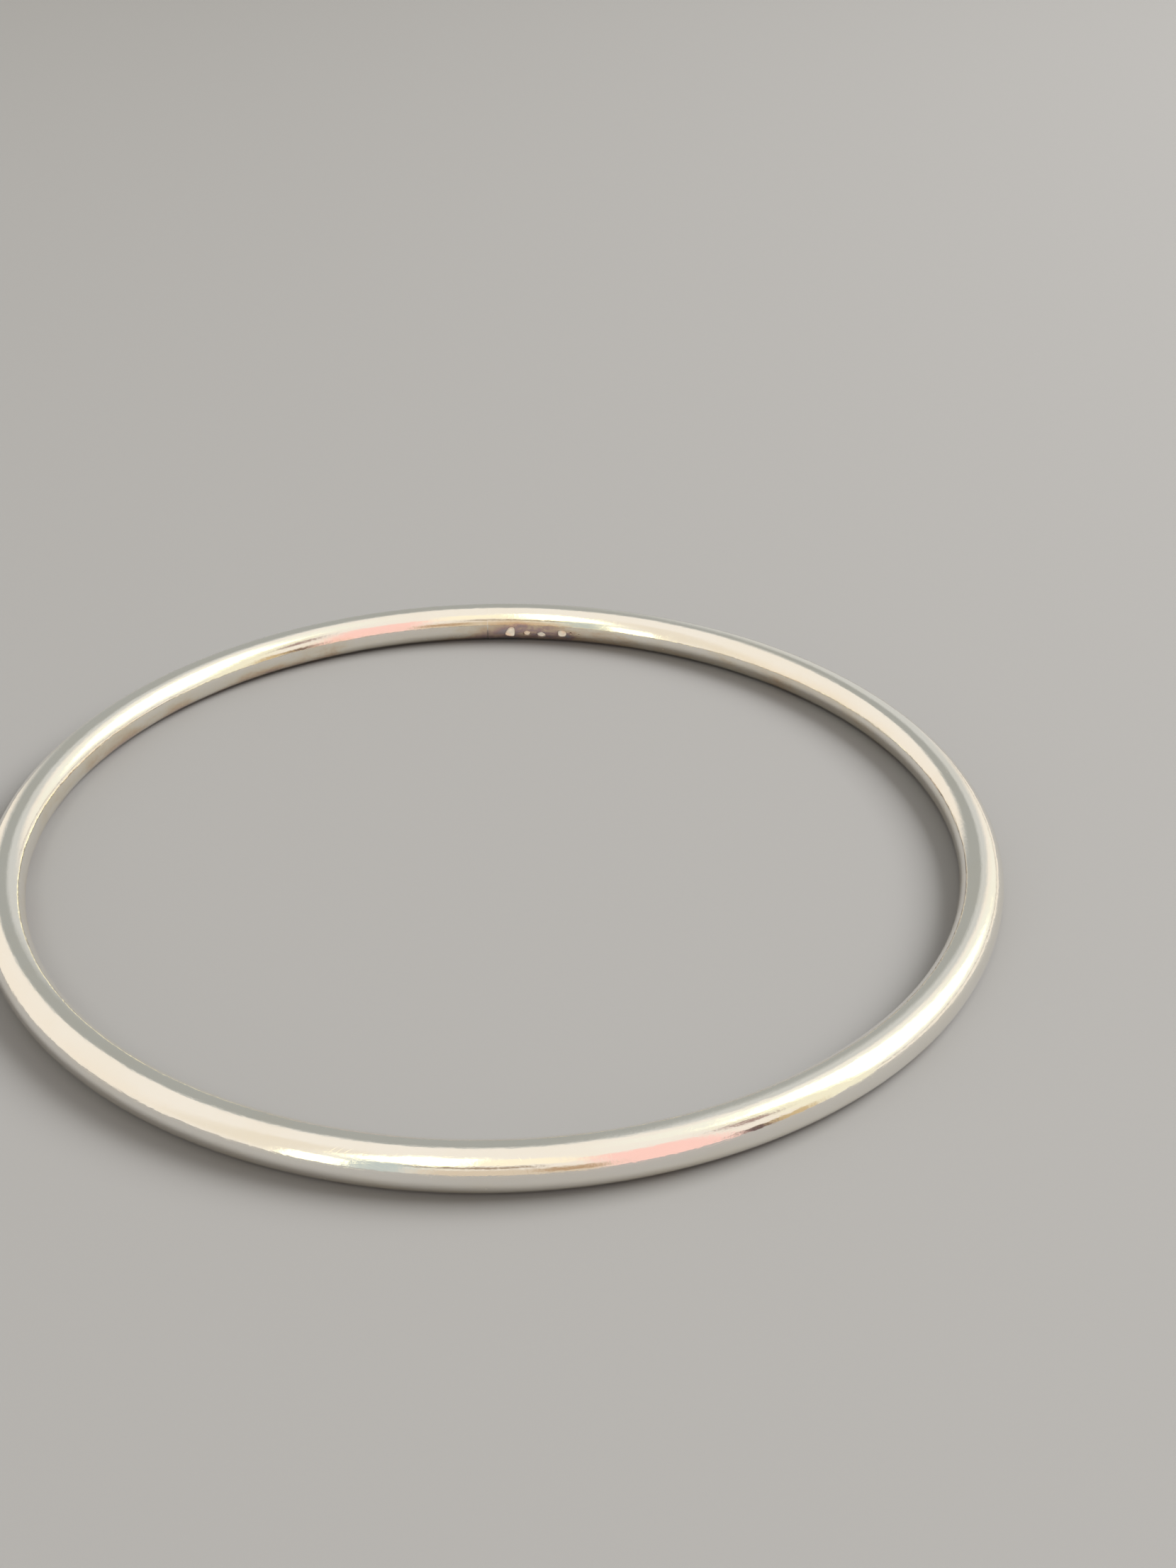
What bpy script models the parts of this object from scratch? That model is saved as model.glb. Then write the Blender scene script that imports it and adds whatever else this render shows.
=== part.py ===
"""A plain closed bangle: one round silver rod bent into a ring, its two ends joined by hard solder.

Metres, +Z up. The bangle lies flat. Z is the axis of the ring, z = 0 is the surface that it rests on,
the origin is below the middle of the wrist opening, and the soldered joint is at +Y.
"""

from math import cos, pi, radians, sin, tau

import bmesh
import bpy
from mathutils import Vector

# Driving dimensions
INSIDE_DIAMETER = 0.065  # of the wrist opening
ROD_DIAMETER = 0.003  # measured across the flats of the faceted section
SOLDER_THICKNESS = 0.0003  # along the rod
TOUCHING_GAP = 0.0003  # between the solder and each end of the rod
JOINT_DIRECTION = radians(90)  # anticlockwise from +X, seen from above

# Facets: the sides are a multiple of 4, so a flat lies at the bottom, top, inner and outer edge
SECTION_SIDES = 24
ROD_STEPS = 120
SOLDER_STEPS = 2
SMOOTH_BELOW = radians(40)  # a sharper edge than this, as round an end, stays sharp

# Materials: colour, roughness
STERLING_SILVER = ("sterling_silver", (0.88, 0.87, 0.84), 0.12)
SILVER_SOLDER = ("silver_solder", (0.84, 0.81, 0.74), 0.22)

# Worked out from the driving dimensions
ROD_RADIUS = ROD_DIAMETER / 2
RING_RADIUS = INSIDE_DIAMETER / 2 + ROD_RADIUS  # to the middle of the rod
SECTION_CORNER_RADIUS = ROD_RADIUS / cos(pi / SECTION_SIDES)
SOLDER_ANGLE = SOLDER_THICKNESS / RING_RADIUS
OPEN_ANGLE = (SOLDER_THICKNESS + 2 * TOUCHING_GAP) / RING_RADIUS  # between the ends of the rod


def clear_scene():
    for thing in list(bpy.data.objects):
        bpy.data.objects.remove(thing, do_unlink=True)


def metal(name, colour, roughness):
    material = bpy.data.materials.new(name)
    material.use_nodes = True
    shader = material.node_tree.nodes["Principled BSDF"]
    shader.inputs["Base Color"].default_value = (*colour, 1)
    shader.inputs["Roughness"].default_value = roughness
    shader.inputs["Metallic"].default_value = 1
    return material


def section_corners(direction):
    """The corners of the rod's round section, in the upright plane through Z that faces this direction."""
    outward = Vector((cos(direction), sin(direction), 0))
    up = Vector((0, 0, 1))
    middle = outward * RING_RADIUS + up * ROD_RADIUS
    for side in range(SECTION_SIDES):
        turn = tau * (side + 0.5) / SECTION_SIDES
        yield middle + SECTION_CORNER_RADIUS * (outward * cos(turn) + up * sin(turn))


def bent_bar(name, start, sweep, steps, material):
    """A solid bar of the rod's section, bent about Z from the direction start through the angle sweep."""
    shape = bmesh.new()
    end_face = shape.faces.new([shape.verts.new(corner) for corner in section_corners(start)])
    bmesh.ops.spin(shape, geom=[end_face], cent=(0, 0, 0), axis=(0, 0, 1), angle=sweep, steps=steps)
    bmesh.ops.recalc_face_normals(shape, faces=shape.faces)

    mesh = bpy.data.meshes.new(name)
    shape.to_mesh(mesh)
    shape.free()
    mesh.shade_smooth()
    mesh.set_sharp_from_angle(angle=SMOOTH_BELOW)
    mesh.materials.append(material)
    bar = bpy.data.objects.new(name, mesh)
    bpy.context.scene.collection.objects.link(bar)
    return bar


def bangle_rod():
    """The rod runs round from one side of the joint to the other and is sawn square at both ends."""
    start = JOINT_DIRECTION + OPEN_ANGLE / 2
    return bent_bar("bangle_rod", start, tau - OPEN_ANGLE, ROD_STEPS, metal(*STERLING_SILVER))


def solder_joint():
    """The thin disc of solder between the rod's two ends, filed flush with the rod."""
    start = JOINT_DIRECTION - SOLDER_ANGLE / 2
    return bent_bar("solder_joint", start, SOLDER_ANGLE, SOLDER_STEPS, metal(*SILVER_SOLDER))


clear_scene()
bangle_rod()
solder_joint()
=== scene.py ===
"""A plain closed bangle of round silver rod, polished by hand, with struck marks beside its solder seam."""

from math import atan2, cos, pi, radians, sin, tau

import bpy
import numpy as np
from mathutils import Euler, Matrix, Vector


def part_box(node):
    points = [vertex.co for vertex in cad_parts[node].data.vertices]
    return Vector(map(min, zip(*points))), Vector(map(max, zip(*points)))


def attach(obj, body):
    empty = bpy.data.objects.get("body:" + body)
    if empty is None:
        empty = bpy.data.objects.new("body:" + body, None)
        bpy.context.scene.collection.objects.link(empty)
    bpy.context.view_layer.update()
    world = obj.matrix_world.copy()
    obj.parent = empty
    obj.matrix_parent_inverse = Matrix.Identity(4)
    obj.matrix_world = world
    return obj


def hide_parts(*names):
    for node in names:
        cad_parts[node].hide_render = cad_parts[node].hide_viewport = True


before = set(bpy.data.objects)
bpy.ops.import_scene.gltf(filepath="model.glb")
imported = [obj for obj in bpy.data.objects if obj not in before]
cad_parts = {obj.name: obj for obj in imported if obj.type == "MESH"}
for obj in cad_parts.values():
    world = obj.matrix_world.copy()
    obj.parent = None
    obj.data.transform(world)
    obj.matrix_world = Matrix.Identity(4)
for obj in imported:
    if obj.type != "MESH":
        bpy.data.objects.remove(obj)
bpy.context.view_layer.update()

# ---------------------------------------------------------------- sizes from the frame

MM = 0.001
rod_low, rod_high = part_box("bangle_rod")
joint_low, joint_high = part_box("solder_joint")
ROD_RADIUS = (rod_high.z - rod_low.z) / 2
RING_RADIUS = (rod_high.x - rod_low.x) / 2 - ROD_RADIUS  # to the middle of the rod
JOINT_DIRECTION = atan2(joint_low.y + joint_high.y, joint_low.x + joint_high.x)
ROD_MM = ROD_RADIUS / MM
RING_MM = RING_RADIUS / MM
ROD_LENGTH = tau * RING_MM  # along the middle of the rod, once round
INNER_FACE = pi  # direction round the rod's section: 0 faces out, a quarter turn up, a half turn in

# ---------------------------------------------------------------- sizes of the finish, in millimetres

SEAM_WIDTH = 0.07  # of the solder film, along the rod
SEAM_GROOVE = 0.025  # its depth on the inner face, which the polishing wheel hardly reaches
SEAM_FLUSH = 0.0002  # its depth where the wheel did reach
SEAM_HOLLOW = 0.3  # how far the film sinks in its middle, as a share of the groove's depth
FILED_EDGE = 0.10  # how far along the rod each end eases down into the seam
WAVE_DEPTH = 0.012  # of the unevenness left by polishing by hand

# The struck marks, in order from the seam: distance along the rod, height above the middle of the inner
# face, half length, half height, squareness (1 a lozenge, 2 an oval, 6 nearly a square), tilt, taper upward
STRUCK_MARKS = (
    (2.05, -0.36, 0.42, 0.57, 3.2, radians(-15), 0.38),
    (3.52, -0.46, 0.35, 0.31, 1.8, radians(12), 0.0),
    (4.80, -0.58, 0.45, 0.34, 1.7, radians(-6), 0.25),
    (6.66, -0.37, 0.43, 0.39, 2.7, radians(8), 0.0),
)
PUNCHED_DOTS = ((7.47, -0.21, 0.12), (8.21, -0.33, 0.09))  # distance along, height, radius
STRUCK_DEPTH = 0.14  # of a mark's floor below the crown of the rod
STRUCK_WALL = 0.07  # width of its sloping wall
STRUCK_SLANT = 0.16  # the punch was held from above, so the floor is deeper there: depth over height
BOSS_HEIGHT = 0.035  # of the plain round boss in the middle of its floor
BOSS_SHARE = 0.42  # the boss's radius, as a share of the mark's half size
DOT_DEPTH = 0.09  # of a punched dot
DOT_SHARE = 0.5  # how far a dot counts as struck: half way, where a mark's dark rim is darkest
BURR_HEIGHT = 0.012  # of the metal pushed up round a mark or a dot
BURR_WIDTH = 0.06  # how far out that metal reaches

# Spacing of the points that make the rod's surface
END_STEP = 0.02  # along the rod at its two ends
MARK_STEP = 0.028  # along the rod at the marks
PLAIN_STEP = 0.60  # along the rod elsewhere
FINE_ARC = 0.03  # round the section where the marks are
PLAIN_ARC = 0.16  # round the section elsewhere


# ---------------------------------------------------------------- surfaces


def smooth(value, start, end):
    """A smooth step: 0 up to start, 1 past end, and a cubic between them."""
    share = np.clip((value - start) / (end - start), 0, 1)
    return share * share * (3 - 2 * share)


def graded(*stations):
    """Places from the first station to the last. A station is a place and the step wanted there.

    The count of places up to a point is the running sum of 1 / step, so the places are read off it."""
    places, steps = zip(*stations)
    fine = np.linspace(places[0], places[-1], 40001)
    density = 1 / np.interp(fine, places, steps)
    count = np.concatenate(([0], np.cumsum((density[1:] + density[:-1]) / 2 * np.diff(fine))))
    return np.interp(np.linspace(0, count[-1], round(count[-1]) + 1), count, fine)


def polish_waves(along, around):
    """Unevenness of hand polishing, from -1 to 0: a mean of sine waves along and round the rod.

    Each wave is sin(lobes * around + crests * along / RING + phase), with a whole number of crests in
    the ring, so the waves meet at the seam."""
    waves = ((2, 7, 0.4), (3, 17, 1.9), (4, 26, 4.1), (3, -35, 0.7), (5, -22, 2.6), (2, 12, 5.2))
    total = sum(
        np.sin(lobes * around + crests * along / RING_MM + phase) for lobes, crests, phase in waves
    )
    return (total / len(waves) - 1) / 2


def burr(outside, inside):
    """The metal pushed up round a dent: a bell curve of the distance from its outline."""
    return BURR_HEIGHT * np.exp(-((np.maximum(outside, 0) / BURR_WIDTH) ** 2)) * (1 - inside)


def struck_marks(along, height):
    """How far the marks and dots lift the surface, in mm, and how far each point counts as struck.

    A mark's outline is the superellipse |u / half length|^n + |v / half height|^n = 1, whose half length
    shrinks by the taper from the middle to the top and grows by it to the bottom. Inside it the surface
    drops to a floor STRUCK_DEPTH below the crown of the rod, and so by height^2 / (2 * radius) less away
    from the crown. The floor slants down by STRUCK_SLANT * height, and a domed boss stands in its middle.
    A dot is a round dent with a burr."""
    lift, struck = np.zeros_like(along), np.zeros_like(along)
    for at, raised, half_length, half_height, squareness, tilt, taper in STRUCK_MARKS:
        u = (along - at) * cos(tilt) + (height - raised) * sin(tilt)
        v = ((height - raised) * cos(tilt) - (along - at) * sin(tilt)) / half_height
        width = half_length * (1 - taper * np.clip(v, -1, 1))
        reach = (np.abs(u / width) ** squareness + np.abs(v) ** squareness) ** (1 / squareness)
        half_size = min(half_length, half_height)
        outside = (reach - 1) * half_size
        inside = 1 - smooth(outside, -STRUCK_WALL, 0)
        above = height - raised
        floor = above**2 / (2 * ROD_MM) - STRUCK_DEPTH - STRUCK_SLANT * above
        from_middle = np.hypot(u, v * half_height) / (BOSS_SHARE * half_size)
        boss = BOSS_HEIGHT * np.exp(-(from_middle**4))
        lift += inside * (np.minimum(floor, 0) + boss) + burr(outside, inside)
        struck = np.maximum(struck, inside)
    for at, raised, radius in PUNCHED_DOTS:
        outside = np.hypot(along - at, height - raised) - radius
        inside = 1 - smooth(outside, -radius, 0)
        lift += burr(outside, inside) - DOT_DEPTH * inside
        struck = np.maximum(struck, inside * DOT_SHARE)
    return lift, struck


def seam_depth(around):
    """Depth of the seam's groove: flush nearly all round, deeper on the lower half of the inner face."""
    missed = smooth(np.cos(around - INNER_FACE - radians(30)), 0.80, 0.97)
    return SEAM_FLUSH + (SEAM_GROOVE - SEAM_FLUSH) * missed


def rod_mesh(name, along, around, lift):
    """A closed stretch of the bent rod, in metres.

    A point at distance s along the rod and direction p round its section lies at the joint's direction
    minus s / RING, at radius RING + (ROD + lift) * cos(p), at height ROD + (ROD + lift) * sin(p).
    Its attribute rod_mm is the same point with the rod straight:
    s, (ROD + lift) * cos(p), (ROD + lift) * sin(p)."""
    direction = JOINT_DIRECTION - along / RING_MM
    thickness = ROD_MM + lift
    out, up = thickness * np.cos(around), thickness * np.sin(around)
    radius = RING_MM + out
    points = np.stack((radius * np.cos(direction), radius * np.sin(direction), ROD_MM + up), -1)
    straight = np.stack((along, out, up), -1)

    rows, columns = along.shape
    index = np.arange(rows * columns).reshape(rows, columns)
    near, far = index[:-1], index[1:]
    sides = np.stack((near, np.roll(near, -1, 1), np.roll(far, -1, 1), far), -1).reshape(-1, 4)
    first_end = index[0, ::-1].tolist()
    last_end = index[-1].tolist()

    mesh = bpy.data.meshes.new(name)
    mesh.from_pydata((points.reshape(-1, 3) * MM).tolist(), [], sides.tolist() + [first_end, last_end])
    mesh.attributes.new("rod_mm", "FLOAT_VECTOR", "POINT").data.foreach_set("vector", straight.ravel())
    mesh.shade_smooth()
    mesh.set_sharp_from_angle(angle=radians(75))
    piece = bpy.data.objects.new(name, mesh)
    bpy.context.scene.collection.objects.link(piece)
    return piece


def silver_rod():
    """The rod, from one side of the seam right round to the other, with its marks and its filed ends."""
    marks_start = STRUCK_MARKS[0][0] - 0.9
    marks_end = PUNCHED_DOTS[-1][0] + 0.4
    start, end = SEAM_WIDTH / 2, ROD_LENGTH - SEAM_WIDTH / 2
    along = graded(
        (start, END_STEP),
        (start + 0.2, END_STEP * 1.5),
        (marks_start - 0.3, 0.15),
        (marks_start, MARK_STEP),
        (marks_end, MARK_STEP),
        (marks_end + 1, PLAIN_STEP),
        (end - 1, PLAIN_STEP),
        (end - 0.2, END_STEP * 1.5),
        (end, END_STEP),
    )
    inner = INNER_FACE * ROD_MM
    half_way = tau * ROD_MM / 2
    around = graded(
        (inner - half_way, PLAIN_ARC),
        (inner - 0.7, PLAIN_ARC),
        (inner - 0.35, FINE_ARC),
        (inner + 1.25, FINE_ARC),
        (inner + 1.6, PLAIN_ARC),
        (inner + half_way, PLAIN_ARC),
    )[:-1] / ROD_MM
    along, around = np.meshgrid(along, around, indexing="ij")
    height = (INNER_FACE - around) * ROD_MM
    lift, struck = struck_marks(along, height)
    lift += WAVE_DEPTH * polish_waves(along, around)
    from_end = np.minimum(along - start, end - along)
    lift -= seam_depth(around) * (1 - smooth(from_end, 0, FILED_EDGE))
    piece = rod_mesh("silver_rod", along, around, lift)
    piece.data.attributes.new("struck", "FLOAT", "POINT").data.foreach_set("value", struck.ravel())
    return piece


def solder_seam():
    """The film of solder between the rod's ends: a thin disc that fills the seam up to its groove."""
    along = np.linspace(-SEAM_WIDTH / 2, SEAM_WIDTH / 2, 7)
    around = np.linspace(0, tau, 97)[:-1]
    along, around = np.meshgrid(along, around, indexing="ij")
    hollow = SEAM_HOLLOW * (1 - (2 * along / SEAM_WIDTH) ** 2)
    lift = WAVE_DEPTH * polish_waves(along, around) - seam_depth(around) * (1 + hollow)
    return rod_mesh("solder_seam", along, around, lift)


# ---------------------------------------------------------------- shader expressions


class Socket:
    """A node's output, in an expression: + - * ** and abs add Math nodes to the same material."""

    def __init__(self, tree, output):
        self.tree, self.output = tree, output

    def add(self, kind, settings=None, inputs=None, output=0):
        """A new node of the kind, its settings made first, then its inputs, each a number or a Socket."""
        node = self.tree.nodes.new(kind)
        for key, value in (settings or {}).items():
            if key == "stops":
                set_stops(node.color_ramp, value)
            else:
                setattr(node, key, value)
        for key, value in (inputs or {}).items():
            if isinstance(value, Socket):
                self.tree.links.new(value.output, node.inputs[key])
            else:
                node.inputs[key].default_value = value
        return Socket(self.tree, node.outputs[output])

    def math(self, operation, *values):
        return self.add("ShaderNodeMath", {"operation": operation}, dict(enumerate(values)))

    def __add__(self, other):
        return self.math("ADD", self, other)

    def __sub__(self, other):
        return self.math("SUBTRACT", self, other)

    def __rsub__(self, other):
        return self.math("SUBTRACT", other, self)

    def __mul__(self, other):
        return self.math("MULTIPLY", self, other)

    def __pow__(self, other):
        return self.math("POWER", self, other)

    def __abs__(self):
        return self.math("ABSOLUTE", self)

    __radd__ = __add__
    __rmul__ = __mul__

    def step(self, start, end, low=0.0, high=1.0):
        """A smooth step from low, up to start, to high, past end."""
        return self.add(
            "ShaderNodeMapRange",
            {"interpolation_type": "SMOOTHSTEP"},
            {"Value": self, "From Min": start, "From Max": end, "To Min": low, "To Max": high},
        )


def set_stops(ramp, stops):
    """Gives a new colour ramp these stops, in order: each a position and a colour."""
    for element, (place, colour) in zip(ramp.elements, (stops[0], stops[-1])):
        element.position, element.color = place, colour
    for place, colour in stops[1:-1]:
        ramp.elements.new(place).color = colour


def new_metal(name):
    """A material with only a metallic Principled shader, and its shader node."""
    material = bpy.data.materials.new(name)
    material.use_nodes = True
    shader = material.node_tree.nodes["Principled BSDF"]
    shader.inputs["Metallic"].default_value = 1.0
    return material, shader


def connect(shader, name, value):
    value.tree.links.new(value.output, shader.inputs[name])


def blend(share, first, second):
    """A colour between first and second; each is a Socket or a colour."""
    colours = {0: share}
    for key, colour in ((6, first), (7, second)):
        colours[key] = colour if isinstance(colour, Socket) else (*colour, 1)
    return share.add("ShaderNodeMix", {"data_type": "RGBA", "clamp_factor": True}, colours, output=2)


def noise(place, size, turn=0.0, detail=2.0, roughness=0.5, at=0.0):
    """Noise from 0 to 1. size is that of its grains on the three axes of place, which are turned first."""
    mapped = place.add(
        "ShaderNodeMapping",
        {"vector_type": "TEXTURE"},
        {"Vector": place, "Location": (at, 0, 0), "Rotation": (0, turn, turn), "Scale": size},
    )
    return place.add(
        "ShaderNodeTexNoise", {}, {"Vector": mapped, "Scale": 1.0, "Detail": detail, "Roughness": roughness}
    )


def hairline(pattern, width):
    """1 along the lines where a pattern crosses its middle, falling to 0 within width of it."""
    return abs(pattern - 0.5).step(0, width, 1.0, 0.0)


# ---------------------------------------------------------------- finishes

POLISHED_SILVER = (0.94, 0.92, 0.88)
MARK_HIGHLIGHT_CREAM = (0.98, 0.94, 0.85)  # painted highlight: the bright warm colour of the struck marks' floors, standing in for the warm light they catch
MARK_HIGHLIGHT_PEACH = (0.96, 0.74, 0.58)
DARK_OXIDE = (0.14, 0.11, 0.10)
SOLDER_METAL = (0.92, 0.89, 0.83)

# The colour of the film of tarnish that silver grows, by its thickness from none to thick
TARNISH_STOPS = (
    (0.0, (*POLISHED_SILVER, 1)),
    (0.25, (0.91, 0.85, 0.73, 1)),
    (0.50, (0.80, 0.64, 0.47, 1)),
    (0.72, (0.56, 0.40, 0.39, 1)),
    (1.0, (0.33, 0.40, 0.46, 1)),
)
MARKED_MIDDLE = 5.2  # mm past the seam, the middle of the stretch that a cloth spares because of the marks
STAINED_MIDDLE = 4.8  # mm past the seam, the middle of the browner stretch between the marks

# Sets of scratches: how far they turn from the rod's direction, in radians, their spacing in mm, their
# width as a share of the pattern, and a place in the noise
SCRATCHES = (
    (0.06, 0.16, 0.030, 3.1),
    (-0.20, 0.20, 0.020, 17.7),
    (0.50, 0.35, 0.012, 41.3),
    (-1.10, 0.70, 0.012, 61.9),
)


def sterling_silver():
    material, shader = new_metal("sterling_silver")
    tree = material.node_tree
    rod = Socket(tree, None).add("ShaderNodeAttribute", {"attribute_name": "rod_mm"}, output="Vector")
    struck = rod.add("ShaderNodeAttribute", {"attribute_name": "struck"}, output="Fac")
    along, out, up = (rod.add("ShaderNodeSeparateXYZ", {}, {0: rod}, output=axis) for axis in "XYZ")

    # Tarnish grows where hands, cuffs and cloths don't rub: inside the ring and at the marks. The film also
    # thickens towards the lower side of the rod, and that is painted shade
    bangle = rod.add("ShaderNodeTexCoord", output="Object")
    # Tarnish on the inner face, and painted shade: this mask also leans towards the lower side of the rod
    inner_tarnish_and_lower_shade = (out * -0.45 + up * -0.35).step(0.10, 0.80)
    # Painted shade: a mask that grows towards the lower side of the rod and makes the silver darker and
    # yellower there
    painted_underside_shade = (up * -1.0).step(-0.3, 1.4)
    past_seam = along.math("WRAP", along, ROD_LENGTH / 2, -ROD_LENGTH / 2)
    marked = abs(past_seam - MARKED_MIDDLE).step(3.0, 9.0, 1.0, 0.0)
    patches = noise(bangle, (7 * MM, 7 * MM, 2.5 * MM), detail=4, roughness=0.6).step(0.42, 0.66)
    mottle = noise(bangle, (0.28 * MM,) * 3, detail=3, roughness=0.6)
    film = patches * (0.05 + inner_tarnish_and_lower_shade * (0.22 + marked * 0.16))
    film = film + inner_tarnish_and_lower_shade * (mottle * 0.16 + marked * 0.16)
    film = film + mottle * 0.05 + painted_underside_shade * (0.05 + mottle * 0.16 + patches * 0.18)
    stains = noise(rod, (1.1, 0.5, 0.5), detail=3, roughness=0.6, at=33.0).step(0.35, 0.65)
    stained = abs(past_seam - STAINED_MIDDLE).step(1.8, 4.5, 1.0, 0.0)
    film = film + inner_tarnish_and_lower_shade * stained * (0.10 + stains * 0.26)

    # Lines drawn along the rod, and scratches of wear in four directions, broken into short lengths
    drawn = noise(rod, (10.0, 0.12, 0.12), detail=3, roughness=0.6)
    scratches = None
    for turn, spacing, width, at in SCRATCHES:
        lines = hairline(noise(rod, (4.5, spacing, spacing), turn=turn, detail=0, at=at), width)
        lengths = noise(rod, (1.6, 1.6, 1.6), detail=1, at=at * 2).step(0.54, 0.66)
        part = lines * lengths
        scratches = part if scratches is None else scratches + part

    haze = noise(bangle, (1.6 * MM,) * 3, detail=4, at=9.0).step(0.35, 0.75)
    roughness = 0.045 + haze * 0.05 + mottle * 0.07 + film * 0.14 + scratches * 0.10 + struck * 0.42

    speckle = noise(rod, (0.07, 0.07, 0.07), detail=2)
    rim = (struck * (1 - struck) * 4) ** 0.6
    colour = film.add("ShaderNodeValToRGB", {"stops": TARNISH_STOPS}, {0: film})
    warmer = noise(rod, (1.5, 1.5, 1.5), detail=1, at=5.0).step(0.42, 0.58)
    # Painted highlight: the struck marks' floors turn a light cream to peach, standing in for the warm
    # light they catch
    painted_mark_highlight = blend(warmer, MARK_HIGHLIGHT_CREAM, MARK_HIGHLIGHT_PEACH)
    colour = blend(struck * 0.9, colour, painted_mark_highlight)
    colour = blend(rim * 0.85, colour, DARK_OXIDE)

    lumps = noise(rod, (1.4, 0.5, 0.5), detail=3, roughness=0.6, at=27.0)
    height = lumps * 6.0 + drawn * 1.2 + mottle * 1.8 - scratches * 0.3 + struck * speckle * 1.6
    bumps = rod.add("ShaderNodeBump", {}, {"Height": height, "Distance": 2.0e-6, "Strength": 1.0})
    connect(shader, "Base Color", colour)
    connect(shader, "Metallic", 1.0 - struck * 0.85)
    connect(shader, "Roughness", roughness)
    connect(shader, "Normal", bumps)
    return material


def silver_solder():
    material, shader = new_metal("silver_solder")
    rod = Socket(material.node_tree, None).add(
        "ShaderNodeAttribute", {"attribute_name": "rod_mm"}, output="Vector"
    )
    pits = noise(rod, (0.11, 0.20, 0.20), detail=3)
    out, up = (rod.add("ShaderNodeSeparateXYZ", {}, {0: rod}, output=axis) for axis in "YZ")
    inside = (out * -1.0 + up * -0.9).step(1.3, 1.8)
    colour = blend(inside * (0.6 + pits * 0.3), SOLDER_METAL, DARK_OXIDE)
    connect(shader, "Base Color", colour)
    connect(shader, "Roughness", 0.14 + inside * 0.25 + pits * 0.10)
    bumps = rod.add("ShaderNodeBump", {}, {"Height": pits * inside, "Distance": 4.0e-6, "Strength": 1.0})
    connect(shader, "Normal", bumps)
    return material


# ---------------------------------------------------------------- studio

FLOOR_SIZE = 3.0  # metres, as the camera's distance is
FLOOR_COLOUR = (0.203, 0.204, 0.218)
CEILING_COLOUR = (0.95, 0.89, 0.80)
WALL_COLOUR = (0.95, 0.87, 0.76)
# What stands round the table, the first furthest back: azimuth, elevation, half width, half height and
# softness of the edge in degrees, and colour
SURROUNDINGS = (
    (75, 43, 38, 34, 8, (0.97, 0.955, 0.84)),  # the glow round the window
    (-157, 50, 15, 27, 6, (0.97, 0.95, 0.83)),  # the glow round the window behind the camera
    (-125, 38, 14, 28, 9, (0.88, 0.80, 0.67)),  # the corner between that window and the wall
    (1, 18, 27, 39, 6, (0.65, 0.65, 0.62)),  # a grey backdrop
    (-9, 18, 17, 37, 6, (0.405, 0.41, 0.385)),  # its darker half
    (66, 8, 38, 0.8, 0.6, (0.40, 0.36, 0.30)),  # a window sill
    (112, 18, 9, 42, 4, (0.95, 0.90, 0.70)),  # a straw-coloured card
    (125, 2, 7, 14, 3, (0.64, 0.48, 0.27)),  # an ochre card
    (123, 43, 5, 8, 3, (0.40, 0.28, 0.25)),  # a brown shadow above it
    (132, -7, 4, 22, 3, (0.13, 0.085, 0.085)),  # a dark edge
    (149, 2, 13, 50, 4, (1.06, 0.68, 0.61)),  # a rose card
    (176, 54, 14, 13, 5, (1.08, 0.98, 0.76)),  # a cream card
    (180, 8, 18, 16, 5, (0.72, 0.61, 0.48)),  # a tan card
    (168, 14, 6, 7, 3, (0.50, 0.34, 0.21)),  # a brown edge
    (-172, 33, 14, 4, 3, (0.36, 0.27, 0.19)),  # a brown strip
    (-155, 10, 6, 25, 4, (0.56, 0.62, 0.60)),  # a blue-grey card
    (78, 42, 24, 21, 6, (2.60, 2.52, 1.60)),  # the window
    (-157, 56, 12, 16, 5, (2.60, 2.52, 1.60)),  # the window behind the camera
    (-143, 11, 5, 16, 2.5, (2.60, 2.52, 1.70)),  # a narrow window beside it
)
DAYLIGHT = (1.0, 0.985, 0.94)

CAMERA_DISTANCE = 0.1355  # from the middle of the ring
CAMERA_RISE = radians(32.94)
CAMERA_ASIDE = radians(0.8)  # past straight across the ring from the joint
# How far the camera looks away from the middle of the ring: up, to the side and rolled
CAMERA_AIM = Euler((radians(1.537), radians(-2.739), radians(-1.190)))
CAMERA_LENS = 43.66


def toward(azimuth, elevation):
    """The direction at an azimuth clockwise from the joint, seen from above, and at an elevation."""
    turned = JOINT_DIRECTION - azimuth
    return Vector((cos(turned) * cos(elevation), sin(turned) * cos(elevation), sin(elevation)))


def pale_floor():
    mesh = bpy.data.meshes.new("pale_floor")
    half = FLOOR_SIZE / 2
    corners = [(-half, -half, 0), (half, -half, 0), (half, half, 0), (-half, half, 0)]
    mesh.from_pydata(corners, [], [(0, 1, 2, 3)])
    material = bpy.data.materials.new("pale_floor")
    material.use_nodes = True
    shader = material.node_tree.nodes["Principled BSDF"]
    shader.inputs["Base Color"].default_value = (*FLOOR_COLOUR, 1)
    shader.inputs["Roughness"].default_value = 0.70
    shader.inputs["Specular IOR Level"].default_value = 0.10
    mesh.materials.append(material)
    floor = bpy.data.objects.new("pale_floor", mesh)
    bpy.context.scene.collection.objects.link(floor)


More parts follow.
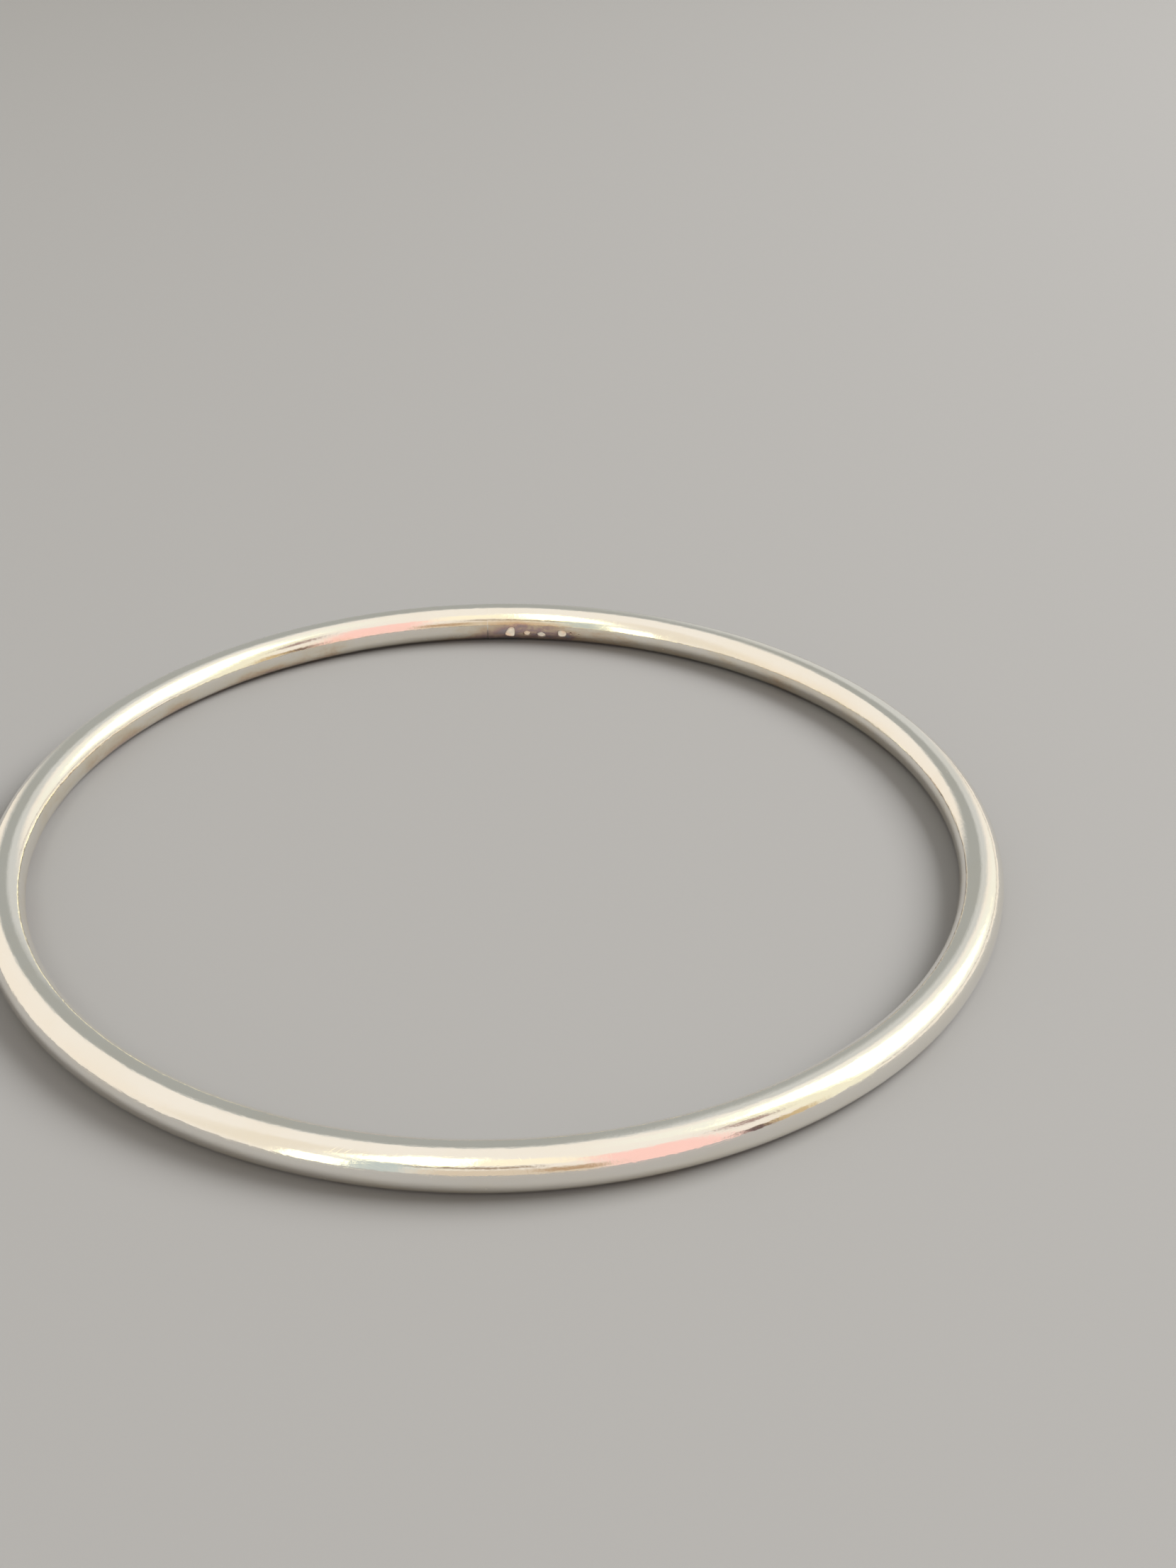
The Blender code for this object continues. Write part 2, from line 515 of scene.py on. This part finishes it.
def softbox(name, azimuth, elevation, width, height, brightness, distance=0.9):
    """An area light that faces the ring, and that reflections don't show: the painted windows stand for it.
    Angles are in degrees. width and height are shares of its distance. brightness is its radiance, so its
    power is that times pi and its area."""
    lamp = bpy.data.lights.new(name, "AREA")
    lamp.shape = "RECTANGLE"
    lamp.size, lamp.size_y = width * distance, height * distance
    lamp.energy = brightness * pi * lamp.size * lamp.size_y
    lamp.color = DAYLIGHT
    light = bpy.data.objects.new(name, lamp)
    direction = toward(radians(azimuth), radians(elevation))
    light.location = direction * distance
    light.rotation_euler = direction.to_track_quat("Z", "Y").to_euler()
    light.visible_camera = False
    light.visible_glossy = False
    bpy.context.scene.collection.objects.link(light)


def studio():
    """Pale walls and ceiling, with windows, a grey backdrop and coloured cards painted in their directions,
    and three soft lights in the windows' places. The camera sees only the plain wall beyond the floor."""
    world = bpy.data.worlds.new("studio")
    world.use_nodes = True
    background = world.node_tree.nodes["Background"]
    view = Socket(world.node_tree, None).add("ShaderNodeTexCoord", output="Generated")
    turn = (0, 0, pi / 2 - JOINT_DIRECTION)
    turned = view.add("ShaderNodeMapping", {"vector_type": "POINT"}, {0: view, "Rotation": turn})
    split = [turned.add("ShaderNodeSeparateXYZ", {}, {0: turned}, output=axis) for axis in "XYZ"]
    azimuth = view.math("ARCTAN2", split[0], split[1]) * (180 / pi)
    elevation = view.math("ARCSINE", split[2]) * (180 / pi)

    def patch(middle, rise, half_width, half_height, soft):
        """1 inside a range of azimuth and elevation, in degrees, falling softly to 0 at its edges."""
        turned_away = view.math("WRAP", azimuth - middle, 180, -180)
        across = abs(turned_away).step(half_width - soft, half_width + soft, 1.0, 0.0)
        upward = abs(elevation - rise).step(half_height - soft, half_height + soft, 1.0, 0.0)
        return across * upward

    colour = blend(elevation.step(5, 55), WALL_COLOUR, CEILING_COLOUR)
    for *place, own_colour in SURROUNDINGS:
        colour = blend(patch(*place), colour, own_colour)
    seen = view.add("ShaderNodeLightPath", output="Is Camera Ray")
    colour = blend(seen, colour, WALL_COLOUR)
    world.node_tree.links.new(colour.output, background.inputs["Color"])
    bpy.context.scene.world = world

    softbox("window", 80, 43, 0.80, 0.58, 13.0)
    softbox("window_behind", -161, 46, 0.22, 0.27, 7.0)
    softbox("narrow_window", -145, 9, 0.15, 0.34, 6.0)


def camera():
    """A camera opposite the joint, which looks past the middle of the ring by the angles of its aim."""
    lens = bpy.data.cameras.new("camera")
    lens.lens = CAMERA_LENS
    lens.sensor_width = 36.0
    lens.clip_start, lens.clip_end = 0.01, 10.0
    back = toward(pi + CAMERA_ASIDE, CAMERA_RISE)
    across = Vector((0, 0, 1)).cross(back).normalized()
    above = back.cross(across)
    level = Matrix((across, above, back)).transposed()
    view = bpy.data.objects.new("camera", lens)
    view.matrix_world = Matrix.Translation(
        Vector((0, 0, ROD_RADIUS)) + back * CAMERA_DISTANCE
    ) @ (level @ CAMERA_AIM.to_matrix()).to_4x4()
    bpy.context.scene.collection.objects.link(view)
    bpy.context.scene.camera = view


# ---------------------------------------------------------------- the bangle

rod = silver_rod()
rod.data.materials.append(sterling_silver())
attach(rod, "root")
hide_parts("bangle_rod")

seam = solder_seam()
seam.data.materials.append(silver_solder())
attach(seam, "root")
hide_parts("solder_joint")

pale_floor()
studio()
camera()
bpy.context.scene.view_settings.view_transform = "Standard"
